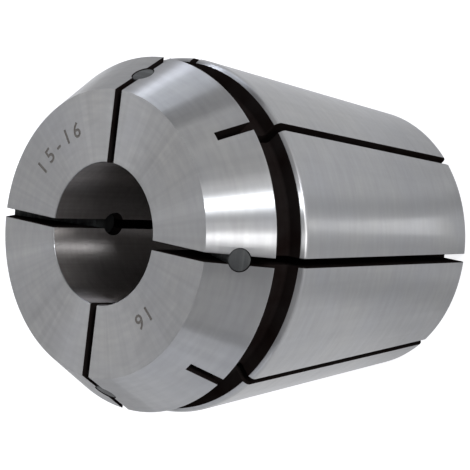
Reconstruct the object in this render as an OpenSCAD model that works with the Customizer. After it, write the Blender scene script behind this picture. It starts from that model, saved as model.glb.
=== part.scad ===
// Sealed spring collet: a slotted, double-tapered steel sleeve that grips a
// tool shank. It stands on its rear face with the nose up, and the origin is
// the centre of the rear face. Rubber plugs close the front slots in the nose.

/* [Body] */
// Length from the nose face to the rear face
overall_length = 46; // [42:0.5:60]
// Largest diameter, at the front end of the body taper
body_diameter = 41; // [40.5:0.5:48]
// Half angle of the body taper, in degrees
body_taper_angle = 8; // [4:0.5:9]
// Radius that rounds the rear edge
rear_edge_radius = 0.8; // [0.2:0.1:1.5]

/* [Nose] */
// Diameter of the flat nose face
face_diameter = 32.6; // [30:0.2:34]
// Half angle of the nose cone, in degrees
nose_angle = 30; // [25:1:32]
// Length of the nose cone along the axis
nose_length = 7; // [6:0.25:8]
// Radius that rounds the two edges of the nose cone
nose_edge_radius = 0.2; // [0.05:0.05:0.4]

/* [Groove] */
// Width of the groove that the nut hooks into
groove_width = 4.2; // [3:0.1:6]
// Diameter at the floor of the groove
groove_diameter = 36.2; // [32:0.2:38]
// Radius in the corners of the groove
groove_corner_radius = 0.4; // [0.1:0.1:0.8]
// Length of the lead-in cone behind the groove
lead_in_length = 0.55; // [0.3:0.05:2]
// Drop in radius of the lead-in cone
lead_in_drop = 0.5; // [0.1:0.05:0.8]

/* [Bore] */
// Diameter of the bore that grips the shank
bore_diameter = 16; // [10:0.5:20]
// Chamfer at both ends of the bore
bore_chamfer = 0.15; // [0.05:0.05:0.8]

/* [Slots] */
// Number of slots cut from each end
slots_per_end = 4; // [3:1:6]
// Width of every slot
slot_width = 1; // [0.6:0.1:1.4]
// Diameter of the slitting saw
saw_diameter = 80; // [63:1:100]
// How far the saw reaches past the wall of the bore
saw_overrun = 3; // [1:0.5:4]
// Depth of the notch that a front slot leaves in the rear edge
rear_notch_depth = 3.35; // [2:0.05:4]
// Distance from the nose face to the end of a rear slot on the nose cone
rear_slot_stop = 3.2; // [2:0.1:5]

/* [Seal plugs] */
// Diameter of the plug holes, drilled square to the nose cone
plug_hole_diameter = 2.6; // [2:0.1:3.2]
// Distance from the nose face to the middle of a plug hole, along the axis
plug_setback = 3.45; // [2.5:0.05:4.2]
// Gap between a plug and the wall of its hole
plug_clearance = 0.02; // [0.01:0.01:0.05]
// Depth of a plug's outer end below the nose cone
plug_sink = 0.1; // [0.05:0.05:0.5]
// Depth of a plug's inner end below the wall of the bore
plug_bore_sink = 0.9; // [0.2:0.1:1.5]
// Radius that rounds the rim of a plug's outer end
plug_rim_radius = 0.1; // [0.05:0.05:0.3]

/* [Hidden] */
arc_steps = 4;
round_faces = 120;
margin = 1;

body_radius = body_diameter / 2;
bore_radius = bore_diameter / 2;
face_radius = face_diameter / 2;
groove_radius = groove_diameter / 2;
saw_radius = saw_diameter / 2;

// Heights of the profile's corners, from the nose down
nose_back_z = overall_length - nose_length;
shoulder_z = nose_back_z - groove_width;
taper_top_z = shoulder_z - lead_in_length;

// Radii of the cones at their ends
nose_back_radius = face_radius + nose_length * tan(nose_angle);
rear_radius = body_radius - taper_top_z * tan(body_taper_angle);

// The saw's centre is set by where its rim has to pass: in the notch at the
// rear face for a front slot, and on the nose cone for a rear slot
saw_centre_radius = bore_radius - saw_overrun + saw_radius;
notch_radius = rear_radius - rear_notch_depth;
front_saw_z = saw_rise(notch_radius);
stop_radius = face_radius + rear_slot_stop * tan(nose_angle);
rear_saw_z = overall_length - rear_slot_stop - saw_rise(stop_radius);

// Middle of a plug hole on the nose cone
plug_radius = face_radius + plug_setback * tan(nose_angle);
plug_z = overall_length - plug_setback;
plug_body_radius = plug_hole_diameter / 2 - plug_clearance;
// From the nose cone to the collet's axis, along a plug hole
hole_depth = plug_radius / cos(nose_angle);

function plug_name(place) = str("seal_plug_", place);

// Height between the saw's centre and its rim at a given radius
function saw_rise(radius) = sqrt(pow(saw_radius, 2) - pow(saw_centre_radius - radius, 2));

// Corner b of an outline, rounded between its neighbours a and c
function round_corner(a, b, c, radius) =
    let (
        to_a = (a - b) / norm(a - b),
        to_c = (c - b) / norm(c - b),
        half_angle = acos(to_a * to_c) / 2,
        centre = b + (to_a + to_c) / norm(to_a + to_c) * radius / sin(half_angle),
        first = b + to_a * radius / tan(half_angle) - centre,
        last = b + to_c * radius / tan(half_angle) - centre,
        start = atan2(first.y, first.x),
        turn = (atan2(last.y, last.x) - start + 540) % 360 - 180
    )
    [for (step = [0:arc_steps])
        centre + radius * [cos(start + turn * step / arc_steps), sin(start + turn * step / arc_steps)]];

// Outline of [radius, height] corners, each rounded by its own third value
function rounded_outline(corners) = [
    for (i = [0:len(corners) - 1])
        let (
            here = corners[i],
            before = corners[(i + len(corners) - 1) % len(corners)],
            after = corners[(i + 1) % len(corners)]
        )
        each here[2] == 0
            ? [[here.x, here.y]]
            : round_corner([before.x, before.y], [here.x, here.y], [after.x, after.y], here[2])
];

// Half section of a plug that fills a hole down to the collet's axis
function plug_outline() = rounded_outline([
    [0, -plug_sink, 0],
    [plug_body_radius, -plug_sink, plug_rim_radius],
    [plug_body_radius, -hole_depth, 0],
    [0, -hole_depth, 0]
]);

// Half section of the sleeve, from the nose down the outside and up the bore
function sleeve_outline() = rounded_outline([
    [bore_radius + bore_chamfer, overall_length, 0],
    [face_radius, overall_length, nose_edge_radius],
    [nose_back_radius, nose_back_z, nose_edge_radius],
    [groove_radius, nose_back_z, groove_corner_radius],
    [groove_radius, shoulder_z, groove_corner_radius],
    [body_radius - lead_in_drop, shoulder_z, 0],
    [body_radius, taper_top_z, 0],
    [rear_radius, 0, rear_edge_radius],
    [bore_radius + bore_chamfer, 0, 0],
    [bore_radius, bore_chamfer, 0],
    [bore_radius, overall_length - bore_chamfer, 0]
]);

// Slot left by a saw that stops with its centre at saw_z, after it came in
// from the side of path_z
module saw_slot(saw_z, path_z) {
    translate([saw_centre_radius, 0, saw_z])
        rotate([90, 0, 0])
            cylinder(r = saw_radius, h = slot_width, center = true, $fn = round_faces);
    translate([0, -slot_width / 2, min(saw_z, path_z)])
        cube([body_radius + margin, slot_width, abs(path_z - saw_z)]);
}

// Places its children at each slot of one end, turned by offset_angle
module around_axis(offset_angle) {
    for (place = [0:slots_per_end - 1])
        rotate([0, 0, offset_angle + place * 360 / slots_per_end])
            children();
}

// Puts +Z along a plug hole's axis, outwards, from its middle on the cone
module on_nose_cone() {
    translate([plug_radius, 0, plug_z])
        rotate([0, 90 - nose_angle, 0])
            children();
}

module plug_hole() {
    on_nose_cone()
        translate([0, 0, -hole_depth])
            cylinder(d = plug_hole_diameter, h = hole_depth + margin, $fn = round_faces);
}

// The steel sleeve, with slots from the nose end between slots from the rear
module collet_body() {
    color("silver")
        difference() {
            rotate_extrude($fn = round_faces)
                polygon(sleeve_outline());
            around_axis(0) saw_slot(front_saw_z, overall_length + margin);
            around_axis(180 / slots_per_end) saw_slot(rear_saw_z, -margin);
            around_axis(0) plug_hole();
        }
}

// A rubber plug across one front slot, with its inner end trimmed to the bore
module seal_plug(place) {
    color("dimgray")
        rotate([0, 0, (place - 1) * 360 / slots_per_end])
            difference() {
                on_nose_cone()
                    rotate_extrude($fn = round_faces)
                        polygon(plug_outline());
                cylinder(r = bore_radius + plug_bore_sink, h = overall_length, $fn = round_faces);
            }
}

collet_body();
for (place = [1:slots_per_end])
    seal_plug(place);
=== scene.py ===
"""Looks of the spring collet: a ground steel sleeve with four rubber seal plugs.

Lengths are in metres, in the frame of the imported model: the collet stands on
its rear face at the origin, its axis is +Z and its nose points up.
"""

from math import cos, pi, radians, sin

import bmesh
import bpy
from mathutils import Matrix, Quaternion, Vector


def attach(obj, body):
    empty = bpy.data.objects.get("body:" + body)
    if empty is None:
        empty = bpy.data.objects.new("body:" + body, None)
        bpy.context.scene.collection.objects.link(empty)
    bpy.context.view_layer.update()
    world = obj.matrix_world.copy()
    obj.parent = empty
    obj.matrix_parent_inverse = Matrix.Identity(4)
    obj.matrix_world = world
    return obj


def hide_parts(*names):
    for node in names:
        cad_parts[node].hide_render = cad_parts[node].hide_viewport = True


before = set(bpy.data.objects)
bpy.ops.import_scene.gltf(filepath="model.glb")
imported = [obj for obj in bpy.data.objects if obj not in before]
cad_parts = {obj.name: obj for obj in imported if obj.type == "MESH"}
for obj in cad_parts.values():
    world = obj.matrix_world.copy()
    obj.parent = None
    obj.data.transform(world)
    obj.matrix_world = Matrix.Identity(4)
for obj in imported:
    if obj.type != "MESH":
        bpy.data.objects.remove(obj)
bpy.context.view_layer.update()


# Steel sleeve.
# One piece of spring steel: turned, sawn from both ends with a slitting saw,
# hardened black, then ground bright on the nose, both cones and the bore.
# The groove, the slots and the plug holes keep the black of the hardening.

scene = bpy.context.scene
MM = 0.001

NOSE_Z = 46 * MM
NOSE_BACK_Z = 39 * MM
SHOULDER_Z = 34.8 * MM
TAPER_TOP_Z = 34.25 * MM
BORE_RADIUS = 8 * MM

# Half section, from the nose face down the outside and up the bore: radius
# and height of each corner, and how far along its sides it is rounded, in
# millimetres
SLEEVE_CORNERS = [
    (8.15, 46, 0),
    (16.3, 46, 0),
    (20.3415, 39, 0.12),
    (18.1, 39, 0.4),
    (18.1, 34.8, 0.4),
    (20.0, 34.8, 0.06),
    (20.5, 34.25, 0.32),
    (15.6865, 0, 0.7),
    (8.15, 0, 0),
    (8, 0.15, 0),
    (8, 45.85, 0),
]
ROUNDING_STEPS = 4
TURN_STEPS = 160  # no facet line falls close to the wall of a slot

# The slitting saw, and where its centre stops for a slot of each end
SLOT_WIDTH = 1 * MM
SAW_RADIUS = 40 * MM
SAW_STEPS = 180
SAW_CENTRE_RADIUS = 45 * MM
FRONT_SAW_Z = 23.1 * MM
REAR_SAW_Z = 13.2 * MM
SAW_PATH_LENGTH = 60 * MM
OUTSIDE_RADIUS = 22 * MM  # clear of the sleeve
FRONT_SLOTS = [0, 90, 180, 270]
REAR_SLOTS = [45, 135, 225, 315]

# The holes for the seal plugs
PLUG_HOLE_RADIUS = 1.3 * MM
PLUG_CENTRE_RADIUS = 18.2919 * MM
PLUG_CENTRE_Z = 42.55 * MM
PLUG_TILT = radians(60)  # from the collet's axis, square to the nose cone
DRILL_STEPS = 48
DRILL_LENGTH = 16 * MM
DRILL_MIDDLE = -7 * MM  # from the nose cone, along the hole

# Plain size marks on the nose face, the bore and the range it grips: digit,
# angle and distance from the axis in millimetres
SIZE_MARKS = [
    ("1", 151.6, 12.4),
    ("5", 143.0, 12.4),
    ("-", 135.0, 12.4),
    ("1", 127.0, 12.4),
    ("6", 119.0, 12.4),
    ("1", -40.8, 11.45),
    ("6", -48.8, 11.45),
]
MARK_SIZE = 2.5 * MM
MARK_DEPTH = 0.05 * MM
MARK_BOLDNESS = 0.035 * MM

# Points closer than this are merged, and those that a cut leaves a little
# farther apart; a point this close to a plane lies on it
MERGE_DISTANCE = 0.001 * MM
CUT_MERGE_DISTANCE = 0.002 * MM
ON_PLANE_DISTANCE = 0.0001 * MM

# The sleeve's finishes, by their place in its list
CONE, TAPER, FACE, BORE, EDGES, BLACK, MARKED = range(7)


def outline_of(mesh, corners):
    """Draws a closed outline of (radius, height, rounding) corners in millimetres."""
    points = [mesh.verts.new((r * MM, 0, z * MM)) for r, z, _ in corners]
    mesh.faces.new(points)
    for point, (_, _, rounding) in zip(points, corners):
        if rounding:
            bmesh.ops.bevel(
                mesh,
                geom=[point],
                affect="VERTICES",
                offset=rounding * MM,
                offset_type="OFFSET",
                segments=ROUNDING_STEPS,
                profile=0.5,
                material=-1,
            )
    bmesh.ops.delete(mesh, geom=mesh.faces[:], context="FACES_ONLY")


def turned(mesh, steps):
    """Spins the outline in mesh once round the collet's axis."""
    bmesh.ops.spin(
        mesh,
        geom=mesh.verts[:] + mesh.edges[:],
        cent=(0, 0, 0),
        axis=(0, 0, 1),
        dvec=(0, 0, 0),
        angle=2 * pi,
        steps=steps,
        use_merge=True,
        use_duplicate=False,
    )
    bmesh.ops.remove_doubles(mesh, verts=mesh.verts, dist=MERGE_DISTANCE)
    bmesh.ops.recalc_face_normals(mesh, faces=mesh.faces)


def new_piece(name, mesh, finishes):
    """Makes a scene object of a bmesh, with its list of materials."""
    data = bpy.data.meshes.new(name)
    mesh.to_mesh(data)
    mesh.free()
    for finish in finishes:
        data.materials.append(finish)
    piece = bpy.data.objects.new(name, data)
    scene.collection.objects.link(piece)
    return piece


def cut_away(piece, cutter):
    """Takes the cutter's volume out of the piece for good, and removes the cutter."""
    cut = piece.modifiers.new("cut", "BOOLEAN")
    cut.operation = "DIFFERENCE"
    cut.solver = "EXACT"
    cut.material_mode = "INDEX"
    cut.object = cutter
    depsgraph = bpy.context.evaluated_depsgraph_get()
    before = piece.data
    after = bpy.data.meshes.new_from_object(piece.evaluated_get(depsgraph))
    piece.modifiers.clear()
    piece.data = after
    after.name = piece.name
    bpy.data.meshes.remove(before)
    bpy.data.objects.remove(cutter)


def draw_out(mesh, made, vec):
    """Moves what an extrusion has just made, to give it its length."""
    moved = [item for item in made["geom"] if isinstance(item, bmesh.types.BMVert)]
    bmesh.ops.translate(mesh, verts=moved, vec=vec)


def saw_plate(saw_z, feed):
    """The plate that the saw takes out at angle 0, fed from above (1) or below (-1)."""
    mesh = bmesh.new()
    bmesh.ops.create_circle(mesh, segments=SAW_STEPS, radius=SAW_RADIUS)
    bmesh.ops.rotate(mesh, verts=mesh.verts, matrix=Matrix.Rotation(pi / 2, 3, "X"))
    bmesh.ops.translate(
        mesh, verts=mesh.verts, vec=(SAW_CENTRE_RADIUS, -SLOT_WIDTH / 2, saw_z)
    )
    # The rim doesn't cut outside the sleeve, nor on the side the saw comes from
    outside = ((OUTSIDE_RADIUS, 0, 0), (1, 0, 0))
    feed_side = ((0, 0, saw_z), (0, 0, feed))
    for point, away in (outside, feed_side):
        bmesh.ops.bisect_plane(
            mesh,
            geom=mesh.verts[:] + mesh.edges[:],
            dist=ON_PLANE_DISTANCE,
            plane_co=point,
            plane_no=away,
            clear_outer=True,
        )
    swept = bmesh.ops.extrude_edge_only(mesh, edges=mesh.edges[:])
    draw_out(mesh, swept, (0, 0, feed * SAW_PATH_LENGTH))
    thickened = bmesh.ops.extrude_face_region(mesh, geom=mesh.faces[:])
    draw_out(mesh, thickened, (0, SLOT_WIDTH, 0))
    return mesh


def slots_to_saw():
    """The steel that the saw takes out of all eight slots."""
    plates = bmesh.new()
    front = (FRONT_SLOTS, FRONT_SAW_Z, 1)
    rear = (REAR_SLOTS, REAR_SAW_Z, -1)
    for angles, saw_z, feed in (front, rear):
        for angle in angles:
            mesh = saw_plate(saw_z, feed)
            turn = Matrix.Rotation(radians(angle), 3, "Z")
            bmesh.ops.rotate(mesh, verts=mesh.verts, matrix=turn)
            plate = bpy.data.meshes.new("plate")
            mesh.to_mesh(plate)
            mesh.free()
            plates.from_mesh(plate)
            bpy.data.meshes.remove(plate)
    bmesh.ops.recalc_face_normals(plates, faces=plates.faces)
    for face in plates.faces:
        face.material_index = BLACK
    return plates


def on_nose_cone(angle):
    """Place of a plug hole's middle on the nose cone, with +Z outwards along the hole."""
    return (
        Matrix.Rotation(radians(angle), 4, "Z")
        @ Matrix.Translation((PLUG_CENTRE_RADIUS, 0, PLUG_CENTRE_Z))
        @ Matrix.Rotation(PLUG_TILT, 4, "Y")
    )


def plug_holes_to_drill():
    """The drill's path through the wall, once for each front slot."""
    mesh = bmesh.new()
    for angle in FRONT_SLOTS:
        drilled = bmesh.ops.create_cone(
            mesh,
            cap_ends=True,
            segments=DRILL_STEPS,
            radius1=PLUG_HOLE_RADIUS,
            radius2=PLUG_HOLE_RADIUS,
            depth=DRILL_LENGTH,
        )["verts"]
        bmesh.ops.translate(mesh, verts=drilled, vec=(0, 0, DRILL_MIDDLE))
        bmesh.ops.transform(mesh, verts=drilled, matrix=on_nose_cone(angle))
    for face in mesh.faces:
        face.material_index = BLACK
    return mesh


def digits_to_etch():
    """The size marks as solid digits that stand in the nose face, tops outwards."""
    digits = bmesh.new()
    for digit, angle, distance in SIZE_MARKS:
        text = bpy.data.curves.new("digit", "FONT")
        text.body = digit
        text.size = MARK_SIZE
        text.align_x = "CENTER"
        text.align_y = "CENTER"
        text.resolution_u = 3
        text.extrude = MARK_DEPTH
        text.offset = MARK_BOLDNESS
        holder = bpy.data.objects.new("digit", text)
        solid = bpy.data.meshes.new_from_object(holder)
        solid.transform(
            Matrix.Rotation(radians(angle), 4, "Z")
            @ Matrix.Translation((distance * MM, 0, NOSE_Z))
            @ Matrix.Rotation(-pi / 2, 4, "Z")
        )
        digits.from_mesh(solid)
        bpy.data.objects.remove(holder)
        bpy.data.curves.remove(text)
        bpy.data.meshes.remove(solid)
    bmesh.ops.remove_doubles(digits, verts=digits.verts, dist=MERGE_DISTANCE)
    bmesh.ops.recalc_face_normals(digits, faces=digits.faces)
    for face in digits.faces:
        face.material_index = MARKED
    return digits


def connect(node, **sockets):
    """Gives inputs of a node, by name or number (_0), a value or a link."""
    for key, value in sockets.items():
        socket = node.inputs[int(key[1:]) if key[0] == "_" else key.replace("_", " ")]
        if isinstance(value, bpy.types.NodeSocket):
            node.id_data.links.new(value, socket)
        else:
            socket.default_value = value


def add_node(tree, kind, settings=None, **sockets):
    """Adds a shader node with its settings and its inputs, and returns its outputs."""
    node = tree.nodes.new("ShaderNode" + kind)
    for key, value in (settings or {}).items():
        setattr(node, key, value)
    connect(node, **sockets)
    return node.outputs


def calculate(tree, operation, first, second=0.0):
    """Adds a Math node and returns its result."""
    return add_node(tree, "Math", {"operation": operation}, _0=first, _1=second)[0]


def blended(tree, share, low, high):
    """Adds a colour mix from low to high and returns its result."""
    return add_node(tree, "Mix", {"data_type": "RGBA"}, _0=share, _6=low, _7=high)[2]


def spread(tree, value, low, high):
    """Maps a noise's middle range, 0.3 to 0.7, to low and high."""
    middle = {"From_Min": 0.3, "From_Max": 0.7}
    return add_node(tree, "MapRange", Value=value, **middle, To_Min=low, To_Max=high)[0]


def place_on_piece(tree):
    """The shaded point, in the piece's own coordinates."""
    return add_node(tree, "TexCoord")["Object"]


def new_group(name, inputs, outputs):
    """A shader node group with float sockets. Returns it with its inputs and end node."""
    group = bpy.data.node_groups.new(name, "ShaderNodeTree")
    for title, value in inputs.items():
        socket = group.interface.new_socket(
            title, in_out="INPUT", socket_type="NodeSocketFloat"
        )
        socket.default_value = value
    for title in outputs:
        group.interface.new_socket(title, in_out="OUTPUT", socket_type="NodeSocketFloat")
    given = group.nodes.new("NodeGroupInput").outputs
    return group, given, group.nodes.new("NodeGroupOutput")


def noise_group(name, per_metre, detail, roughness):
    """A node group that puts out one noise, with so many features to the metre."""
    group, given, end = new_group(name, {"Per metre": per_metre}, [name])
    noise = add_node(
        group,
        "TexNoise",
        Vector=place_on_piece(group),
        Scale=given["Per metre"],
        Detail=detail,
        Roughness=roughness,
    )
    connect(end, _0=noise[0])
    return group


# Soft patches of handling and oil, and the fine grain of a matt surface
patches = noise_group("Patches", 160.0, detail=3.0, roughness=0.55)
grain = noise_group("Grain", 6000.0, detail=2.0, roughness=0.6)

# Marks of a grinding wheel or a turning tool, which run round the axis: they
# change quickly with radius and height, and slowly with the angle. The rays
# cross them: they change quickly with the angle and slowly with the height
RAYS_ROUND = 26.0
RAYS_PER_METRE = 60.0

grinding_marks, given, end = new_group(
    "Marks round the axis", {"Per metre": 4000.0, "Length": 2.0}, ["Marks", "Rays"]
)


def marks_math(operation, first, second=0.0):
    """Adds a Math node to the marks' group and returns its result."""
    return calculate(grinding_marks, operation, first, second)


x, y, height = add_node(grinding_marks, "SeparateXYZ", Vector=place_on_piece(grinding_marks))
radius = marks_math(
    "SQRT", marks_math("ADD", marks_math("MULTIPLY", x, x), marks_math("MULTIPLY", y, y))
)
around_x = marks_math("DIVIDE", x, radius)
around_y = marks_math("DIVIDE", y, radius)
mark_place = add_node(
    grinding_marks,
    "CombineXYZ",
    X=marks_math("MULTIPLY", around_x, given["Length"]),
    Y=marks_math("MULTIPLY", around_y, given["Length"]),
    Z=marks_math("MULTIPLY", height, given["Per metre"]),
)
mark_noise = add_node(
    grinding_marks,
    "TexNoise",
    {"noise_dimensions": "4D"},
    Vector=mark_place[0],
    W=marks_math("MULTIPLY", radius, given["Per metre"]),
    Scale=1.0,
    Detail=1.5,
    Roughness=0.5,
)
ray_place = add_node(
    grinding_marks,
    "CombineXYZ",
    X=marks_math("MULTIPLY", around_x, RAYS_ROUND),
    Y=marks_math("MULTIPLY", around_y, RAYS_ROUND),
    Z=marks_math("MULTIPLY", height, RAYS_PER_METRE),
)
ray_noise = add_node(
    grinding_marks, "TexNoise", Vector=ray_place[0], Scale=1.0, Detail=1.5, Roughness=0.5
)
connect(end, Marks=mark_noise[0], Rays=ray_noise[0])


def placed_group(tree, group, **values):
    """Places a node group in a material with its own values, and returns its outputs."""
    node = tree.nodes.new("ShaderNodeGroup")
    node.node_tree = group
    connect(node, **values)
    return node.outputs


def new_finish(name, **constants):
    """A material with its Principled shader, on which the constant values are set."""
    material = bpy.data.materials.new(name)
    material.use_nodes = True
    shader = material.node_tree.nodes["Principled BSDF"]
    connect(shader, **constants)
    return material, material.node_tree, shader


# How far the marks darken the steel, how far marks, rays and pits change its
# roughness, and how deep a pit is beside a mark. The roughness stays above
# 0.275, below which the render's denoiser leaves grain in the highlights
MARK_TONE = 0.5
MARK_ROUGHNESS = 0.012
RAY_ROUGHNESS = 0.014
PIT_ROUGHNESS = 0.04
PIT_DEPTH = 15.0


def ground_finish(name, tones, roughness, anisotropy, ray_tone, pitting=0.0):
    """Bright steel whose marks run round the axis, so that highlights stretch along it.

    Its tones are the cool and the warm of the steel's patches, and the dark of
    the marks and rays.
    """
    cool, warm, scored = tones
    finish, tree, shader = new_finish(
        name, Metallic=1.0, Anisotropic=anisotropy, Anisotropic_Rotation=0.25
    )
    marks = placed_group(tree, grinding_marks, Per_metre=1800.0, Length=6.0)
    cloud = placed_group(tree, patches, Per_metre=150.0)[0]
    pits = placed_group(tree, grain, Per_metre=4200.0)[0]

    tone = blended(tree, spread(tree, cloud, 0.0, 1.0), cool, warm)
    tone = blended(tree, spread(tree, marks["Marks"], 0.0, MARK_TONE), tone, scored)
    tone = blended(tree, spread(tree, marks["Rays"], 0.0, ray_tone), tone, scored)

    uneven = calculate(
        tree,
        "ADD",
        spread(tree, marks["Marks"], roughness - MARK_ROUGHNESS, roughness + MARK_ROUGHNESS),
        spread(tree, marks["Rays"], -RAY_ROUGHNESS, RAY_ROUGHNESS),
    )
    pitted = spread(tree, pits, -PIT_ROUGHNESS * pitting, PIT_ROUGHNESS * pitting)
    uneven = calculate(tree, "ADD", uneven, pitted)

    pit_relief = calculate(tree, "MULTIPLY", pits, PIT_DEPTH * pitting)
    relief = calculate(tree, "ADD", marks["Marks"], pit_relief)
    bump = add_node(tree, "Bump", Strength=0.25, Distance=0.004 * MM, Height=relief)

    x, y, _ = add_node(tree, "SeparateXYZ", Vector=place_on_piece(tree))
    across = add_node(tree, "CombineXYZ", X=calculate(tree, "MULTIPLY", y, -1.0), Y=x)
    along_marks = add_node(tree, "VectorMath", {"operation": "NORMALIZE"}, _0=across[0])
    connect(
        shader, Base_Color=tone, Roughness=uneven, Normal=bump[0], Tangent=along_marks[0]
    )
    return finish


CONE_TONES = [
    (0.381, 0.385, 0.400, 1),
    (0.415, 0.414, 0.410, 1),
    (0.331, 0.331, 0.337, 1),
]
STEEL_TONES = [
    (0.345, 0.349, 0.362, 1),
    (0.376, 0.375, 0.371, 1),
    (0.30, 0.30, 0.305, 1),
]
BORE_TONES = [
    (0.388, 0.366, 0.358, 1),
    (0.430, 0.407, 0.398, 1),
    (0.277, 0.255, 0.246, 1),
]
sleeve_finishes = [
    ground_finish("Ground cone", CONE_TONES, roughness=0.33, anisotropy=1.0, ray_tone=0.2),
    ground_finish("Ground taper", STEEL_TONES, roughness=0.303, anisotropy=0.85, ray_tone=0.2),
    ground_finish("Ground face", STEEL_TONES, roughness=0.305, anisotropy=0.97, ray_tone=0.45),
    ground_finish(
        "Honed bore", BORE_TONES, roughness=0.36, anisotropy=1.0, ray_tone=0.5, pitting=1.0
    ),
    ground_finish("Turned edges", STEEL_TONES, roughness=0.305, anisotropy=0.5, ray_tone=0.1),
]

# Black of the hardening, a thin dull scale
SCALE_TONES = [(0.0085, 0.0052, 0.0046, 1), (0.0165, 0.0135, 0.0130, 1)]
hardening_black, tree, shader = new_finish("Hardening black", Specular_IOR_Level=0.0)
cloud = placed_group(tree, patches, Per_metre=260.0)[0]
speckle = placed_group(tree, grain, Per_metre=5000.0)[0]
connect(
    shader,
    Base_Color=blended(tree, spread(tree, cloud, 0.0, 1.0), *SCALE_TONES),
    Roughness=spread(tree, speckle, 0.42, 0.6),
    Normal=add_node(tree, "Bump", Strength=0.3, Distance=0.01 * MM, Height=speckle)[0],
)
sleeve_finishes.append(hardening_black)

# Burnt floor of the etched size marks
BURNT_TONES = [(0.110, 0.100, 0.090, 1), (0.220, 0.205, 0.190, 1)]
mark_black, tree, shader = new_finish("Mark black", Specular_IOR_Level=0.3)
speckle = placed_group(tree, grain, Per_metre=9000.0)[0]
connect(
    shader,
    Base_Color=blended(tree, spread(tree, speckle, 0.0, 1.0), *BURNT_TONES),
    Roughness=spread(tree, speckle, 0.5, 0.7),
)
sleeve_finishes.append(mark_black)

mesh = bmesh.new()
outline_of(mesh, SLEEVE_CORNERS)
turned(mesh, TURN_STEPS)

# The middle of a face tells its finish. The nose cone shares its own with the
# lead-in below the groove and the rear face
NEAR = 0.01 * MM
TAPER_FACES_Z = (1 * MM, TAPER_TOP_Z - 0.2 * MM)
EDGE_FACE_AREA = 0.2 * MM * MM
for face in mesh.faces:
    middle = face.calc_center_median()
    if middle.xy.length < BORE_RADIUS + NEAR:
        face.material_index = BORE
    elif SHOULDER_Z - NEAR < middle.z < NOSE_BACK_Z + NEAR:
        face.material_index = BLACK
    elif middle.z > NOSE_Z - NEAR:
        face.material_index = FACE
    elif TAPER_FACES_Z[0] < middle.z < TAPER_FACES_Z[1]:
        face.material_index = TAPER
    elif face.calc_area() < EDGE_FACE_AREA:
        face.material_index = EDGES
    else:
        face.material_index = CONE

sleeve = new_piece("steel_sleeve", mesh, sleeve_finishes)
cut_away(sleeve, new_piece("slot_cutter", slots_to_saw(), sleeve_finishes))
cut_away(sleeve, new_piece("plug_hole_cutter", plug_holes_to_drill(), sleeve_finishes))

# The saw's and the drill's burrs are broken off
DEBURR_WIDTH = 0.04 * MM
BURR_ANGLE = radians(38)
FLAT_ANGLE = radians(0.2)

mesh = bmesh.new()
mesh.from_mesh(sleeve.data)
bmesh.ops.remove_doubles(mesh, verts=mesh.verts, dist=CUT_MERGE_DISTANCE)
bmesh.ops.dissolve_limit(
    mesh,
    angle_limit=FLAT_ANGLE,
    verts=mesh.verts[:],
    edges=mesh.edges[:],
    delimit={"MATERIAL"},
)
burred_edges = [
    edge
    for edge in mesh.edges
    if edge.calc_face_angle(0) > BURR_ANGLE
    and any(face.material_index == BLACK for face in edge.link_faces)
]
bmesh.ops.bevel(
    mesh,
    geom=burred_edges,
    affect="EDGES",
    offset=DEBURR_WIDTH,
    offset_type="OFFSET",
    segments=2,
    profile=0.5,
    material=BLACK,
    loop_slide=False,
    clamp_overlap=False,
)
mesh.to_mesh(sleeve.data)
mesh.free()
cut_away(sleeve, new_piece("mark_cutter", digits_to_etch(), sleeve_finishes))

SHARP_ANGLE = radians(50)


def shade(piece):
    """Shades a piece smooth, but keeps steep edges and the rims of black faces sharp.

    The large faces set the shading, so that flat stays flat beside a small bevel.
    """
    mesh = bmesh.new()
    mesh.from_mesh(piece.data)
    for face in mesh.faces:
        face.smooth = True
    for edge in mesh.edges:
        finishes = {face.material_index for face in edge.link_faces}
        rim = BLACK in finishes and len(finishes) > 1
        edge.smooth = edge.calc_face_angle(0) < SHARP_ANGLE and not rim
    mesh.to_mesh(piece.data)
    mesh.free()
    weighted = piece.modifiers.new("weighted normals", "WEIGHTED_NORMAL")
    weighted.mode = "FACE_AREA"
    weighted.weight = 100
    weighted.keep_sharp = True


shade(sleeve)
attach(sleeve, "root")
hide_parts("collet_body")


# Seal plugs.
# A short moulded rubber cylinder across each front slot, pressed into a hole
# drilled square to the nose cone and trimmed a little below the bore.

# Half section, from the outer end inwards: radius and height of each corner
# and how far along its sides it is rounded, in millimetres
PLUG_CORNERS = [
    (0, -0.1, 0),
    (1.28, -0.1, 0.1),
    (1.28, -16, 0),
    (0, -16, 0),
]
PLUG_STEPS = 40
PLUG_TRIM_RADIUS = 8.9 * MM

RUBBER_TONES = [(0.022, 0.023, 0.024, 1), (0.034, 0.036, 0.037, 1)]
SCUFFED_RUBBER = (0.085, 0.092, 0.09, 1)

seal_rubber, tree, shader = new_finish("Seal rubber", Specular_IOR_Level=0.4)
speckle = placed_group(tree, grain, Per_metre=7000.0)[0]
cloud = placed_group(tree, patches, Per_metre=500.0)[0]
streaks = placed_group(tree, grinding_marks, Per_metre=1500.0, Length=1.5)["Marks"]
tone = blended(tree, spread(tree, cloud, 0.0, 1.0), *RUBBER_TONES)
connect(
    shader,
    Base_Color=blended(tree, spread(tree, streaks, -0.5, 0.8), tone, SCUFFED_RUBBER),
    Roughness=spread(tree, speckle, 0.45, 0.62),
    Normal=add_node(tree, "Bump", Strength=0.35, Distance=0.01 * MM, Height=speckle)[0],
)


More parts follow.
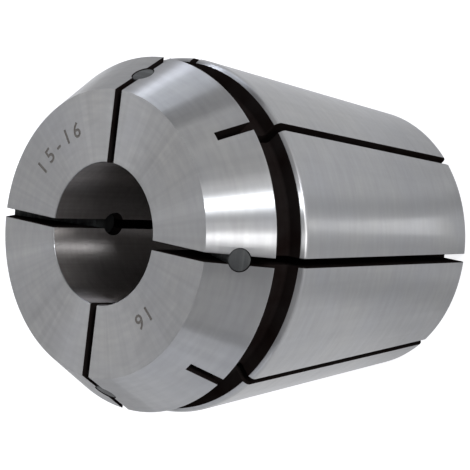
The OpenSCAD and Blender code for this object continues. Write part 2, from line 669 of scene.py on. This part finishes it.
def trimming_cutter():
    """A cylinder round the collet's axis, to which the plugs are trimmed."""
    mesh = bmesh.new()
    bmesh.ops.create_cone(
        mesh,
        cap_ends=True,
        segments=TURN_STEPS,
        radius1=PLUG_TRIM_RADIUS,
        radius2=PLUG_TRIM_RADIUS,
        depth=NOSE_Z,
    )
    bmesh.ops.translate(mesh, verts=mesh.verts, vec=(0, 0, NOSE_Z / 2))
    return mesh


for number, angle in enumerate(FRONT_SLOTS, start=1):
    mesh = bmesh.new()
    outline_of(mesh, PLUG_CORNERS)
    turned(mesh, PLUG_STEPS)
    bmesh.ops.transform(mesh, verts=mesh.verts, matrix=on_nose_cone(angle))
    plug = new_piece(f"rubber_plug_{number}", mesh, [seal_rubber])
    cut_away(plug, new_piece("trim_cutter", trimming_cutter(), [seal_rubber]))
    shade(plug)
    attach(plug, "root")
    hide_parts(f"seal_plug_{number}")


# Floor.
# A plain white table. Its glow, seen by the camera and mirrored in the steel,
# makes it the photograph's white; the light that falls on it keeps the shadow.

TABLE_SIZE = 3
TABLE_GREY = (0.45, 0.45, 0.45, 1)
TABLE_GLOW = (0.975, 0.978, 1.0, 1)
SEEN_GLOW = 0.9
MIRRORED_GLOW = 0.545

# Painted shade under the collet: there the table's mirrored glow is dark, and it
# grows to full between these distances from the axis
GLOW_START = 9 * MM
GLOW_FULL = 15.5 * MM

# Sectors of painted shade in the mirrored glow, seen as darker stripes on the long
# taper: azimuth and half width in degrees, and the share of the glow that is left
PAINTED_SHADE_SECTORS = [(25.7, 9.5, 0.62), (3.0, 9.5, 0.69), (-21.0, 13.0, 0.74)]

white_table, tree, shader = new_finish("White table", Roughness=0.9, Specular_IOR_Level=0.0)
spot = place_on_piece(tree)
distance = add_node(tree, "VectorMath", {"operation": "LENGTH"}, _0=spot)["Value"]
# The mirrored glow, with painted shade under the collet
glow = add_node(tree, "MapRange", Value=distance, From_Min=GLOW_START, From_Max=GLOW_FULL)[0]
x, y, _ = add_node(tree, "SeparateXYZ", Vector=spot)
angle = calculate(tree, "ARCTAN2", y, x)
# Painted shade: the mirrored glow is darkened in each of these sectors
for azimuth, half_width, share in PAINTED_SHADE_SECTORS:
    aside = calculate(tree, "SUBTRACT", angle, radians(azimuth))
    painted_shade = add_node(
        tree,
        "MapRange",
        {"interpolation_type": "SMOOTHSTEP"},
        Value=calculate(tree, "ABSOLUTE", aside),
        From_Min=0.0,
        From_Max=radians(half_width),
        To_Min=share,
        To_Max=1.0,
    )[0]
    glow = calculate(tree, "MULTIPLY", glow, painted_shade)
rays = add_node(tree, "LightPath")
mirrored = calculate(tree, "MAXIMUM", rays["Is Glossy Ray"], rays["Is Transmission Ray"])
glow = calculate(tree, "MULTIPLY", glow, MIRRORED_GLOW)
connect(
    shader,
    Base_Color=TABLE_GREY,
    Emission_Color=TABLE_GLOW,
    Emission_Strength=calculate(
        tree,
        "ADD",
        calculate(tree, "MULTIPLY", rays["Is Camera Ray"], SEEN_GLOW),
        calculate(tree, "MULTIPLY", mirrored, glow),
    ),
)

mesh = bmesh.new()
bmesh.ops.create_grid(mesh, x_segments=1, y_segments=1, size=TABLE_SIZE)
floor = new_piece("floor", mesh, [white_table])


# Light.
# An even pale studio, which the camera sees as white. Soft boxes light the
# nose, the bore and the sides, and lamps on the table light the long taper.

STUDIO_GREY = (0.26, 0.26, 0.27, 1)
WHITE = (1, 1, 1, 1)
BOX_AIM = Vector((0, 0, 30 * MM))
BOX_DISTANCE = 1.0
TABLE_LAMP_Z = 1 * MM

world = bpy.data.worlds.new("studio")
scene.world = world
world.use_nodes = True
tree = world.node_tree
seen = add_node(tree, "LightPath")["Is Camera Ray"]
connect(tree.nodes["Background"], Color=blended(tree, seen, STUDIO_GREY, WHITE))


def area_lamp(name, width, height, radiance, colour=(1, 1, 1)):
    """A rectangular lamp, as bright as its radiance says. Returns its object."""
    lamp = bpy.data.lights.new(name, "AREA")
    lamp.shape = "RECTANGLE"
    lamp.size = width
    lamp.size_y = height
    lamp.color = colour
    lamp.energy = radiance * pi * width * height
    holder = bpy.data.objects.new(name, lamp)
    scene.collection.objects.link(holder)
    return holder


def soft_box(name, azimuth, elevation, *lamp):
    """A lamp at the boxes' distance, which faces the collet."""
    box = area_lamp(name, *lamp)
    level = cos(radians(elevation))
    towards = Vector(
        (level * cos(radians(azimuth)), level * sin(radians(azimuth)), sin(radians(elevation)))
    )
    box.location = BOX_AIM + BOX_DISTANCE * towards
    box.rotation_euler = towards.to_track_quat("Z", "Y").to_euler()


def table_lamp(name, azimuth, distance, *lamp):
    """A lamp that lies on the table and shines up, unseen by the camera."""
    lying = area_lamp(name, *lamp)
    turn = radians(azimuth)
    lying.location = (distance * cos(turn), distance * sin(turn), TABLE_LAMP_Z)
    lying.rotation_euler = (pi, 0, turn)
    lying.visible_camera = False


# Azimuth and elevation in degrees, width, height, radiance and colour
soft_box("key_box", 28.6, 26, 0.12, 0.22, 38.0, (0.94, 0.97, 1.0))
soft_box("key_edge", 35, 22, 0.28, 0.5, 1.2)
soft_box("second_box", 6.5, 7, 0.12, 0.24, 12.8)
soft_box("second_edge", 8.5, 9, 0.25, 0.28, 2.4)
soft_box("between_boxes", 17, 14, 0.10, 0.40, 1.2)
soft_box("right_box", 62, 13, 0.9, 0.4, 0.85)
soft_box("upper_edge", 111, 9, 0.34, 0.4, 1.9, (0.84, 0.90, 1.0))
soft_box("upper_box", 121, 7, 0.08, 0.35, 2.2, (0.84, 0.89, 1.0))
soft_box("glint_box", 125.5, 20, 0.06, 0.16, 30.0, (0.86, 0.90, 1.0))
soft_box("back_box", 178, 8, 0.8, 0.3, 2.8, (0.93, 0.95, 1.0))
soft_box("lower_box", 270, 15, 1.25, 0.45, 1.2, (0.90, 0.93, 1.0))
soft_box("front_box", 326, 14, 0.6, 0.4, 0.45)
soft_box("high_box", 180, 45, 0.7, 0.35, 0.97)
soft_box("top_box", 0, 88, 1.0, 1.0, 0.4)

# Azimuth in degrees, distance from the axis, length, width and radiance
table_lamp("streak_lamp", 14.7, 55.5 * MM, 72 * MM, 3.4 * MM, 0.68)
table_lamp("upper_lamp", 90, 72 * MM, 105 * MM, 140 * MM, 0.105)
table_lamp("back_lamp", 185, 85 * MM, 110 * MM, 90 * MM, 0.25)
table_lamp("lower_lamp", 280, 72 * MM, 105 * MM, 130 * MM, 0.18)


# Camera.
# It looks at the collet's axis from the photograph's place, turned on its
# side so that the axis lies level in the picture.

CAMERA_PLACE = Vector((213.7497, 31.5149, 252.1194)) * MM
CAMERA_AIM = Vector((-0.0109, 0.0739, 24.2749)) * MM
CAMERA_ROLL = Quaternion((0, 0, 1), radians(-89.1607))

camera_data = bpy.data.cameras.new("camera")
camera_data.sensor_width = 36
camera_data.lens = 203.431
camera_data.clip_start = 0.01
camera = bpy.data.objects.new("camera", camera_data)
scene.collection.objects.link(camera)
camera.location = CAMERA_PLACE
camera.rotation_mode = "QUATERNION"
towards_aim = (CAMERA_AIM - CAMERA_PLACE).to_track_quat("-Z", "Y")
camera.rotation_quaternion = towards_aim @ CAMERA_ROLL
scene.camera = camera

scene.view_settings.view_transform = "Standard"
